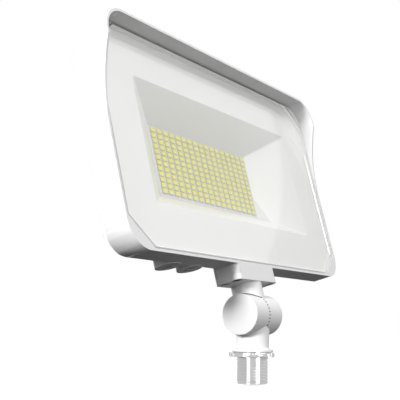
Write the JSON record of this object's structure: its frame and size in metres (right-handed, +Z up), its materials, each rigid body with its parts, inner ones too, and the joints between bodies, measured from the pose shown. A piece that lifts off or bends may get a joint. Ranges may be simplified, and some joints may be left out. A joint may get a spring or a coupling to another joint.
{
  "type": "flood light",
  "caption": "Wide white flood light head with a short hood, clear front glass over a grid of LEDs, and a toothed tilting knuckle on a threaded nipple.",
  "frame": {"origin": "centre of the seat under the nipple's flange, on the nipple's axis", "axes": "+Z up along the nipple, +X along the tilt axis and the head's width, -Y out of the head's front"},
  "size_m": [0.26, 0.0844, 0.2167],
  "materials": {
    "white_casting": "white powder coat on cast aluminium",
    "clear_glass": "clear toughened glass with ground edges",
    "white_silicone": "moulded silicone",
    "reflector_plastic": "white reflective plastic",
    "board_white": "white solder mask on aluminium core",
    "led_phosphor": "yellow phosphor in white packages",
    "steel": "stainless steel",
    "socket_plastic": "moulded",
    "pad_silicone": "soft filled silicone",
    "dial_plastic": "moulded",
    "black_rubber": "moulded",
    "board_green": "solder mask on glass fibre board",
    "black_plastic": "moulded",
    "ferrite": "ferrite core with taped winding",
    "capacitor_sleeve": "shrunk sleeve",
    "copper_winding": "enamelled wire",
    "terminal_plastic": "moulded",
    "grey_gasket": "cut sheet"
  },
  "bodies": {
    "base": {"knuckle_lower": "white_casting", "knuckle_bolt": "steel", "bolt_washer": "steel", "knuckle_seal": "black_rubber"},
    "head": {"housing": "white_casting", "front_glass": "clear_glass", "glass_seal": "white_silicone", "reflector": "reflector_plastic", "led_board": "board_white", "leds": "led_phosphor", "led_board_screws": "steel", "led_connector": "socket_plastic", "thermal_pad": "pad_silicone", "dial_seals": "black_rubber", "selector_board": "board_green", "selector_switches": "black_plastic", "selector_screws": "steel", "driver_board": "board_green", "driver_transformer": "ferrite", "driver_capacitors": "capacitor_sleeve", "driver_choke": "copper_winding", "terminal_block": "terminal_plastic", "driver_screws": "steel", "lead_grommet": "black_rubber", "rear_cover": "white_casting", "rear_seal": "black_rubber", "rear_cover_screws": "steel", "knuckle_upper": "white_casting", "flange_gasket": "grey_gasket", "flange_screws": "steel"},
    "locknut": {"locknut": "white_casting"},
    "power_dial": {"power_dial": "dial_plastic", "power_clip": "steel"},
    "colour_dial": {"colour_dial": "dial_plastic", "colour_clip": "steel"}
  },
  "joints": [
    {"name": "head_tilt", "type": "hinge", "parent": "base", "child": "head", "pos_m": [0, 0, 0.0234], "axis": [-1, 0, 0], "range_deg": [-90, 60]},
    {"name": "locknut_spin", "type": "hinge", "parent": "base", "child": "locknut", "pos_m": [0, 0, -0.00175], "axis": [0, 0, 1], "continuous": true},
    {"name": "power_dial_turn", "type": "hinge", "parent": "head", "child": "power_dial", "pos_m": [-0.0717, 0.01635, 0.04966], "axis": [0, -0.2588, -0.9659], "range_deg": [-40, 40]},
    {"name": "colour_dial_turn", "type": "hinge", "parent": "head", "child": "colour_dial", "pos_m": [-0.0493, 0.01635, 0.04966], "axis": [0, -0.2588, -0.9659], "range_deg": [-40, 40]}
  ]
}
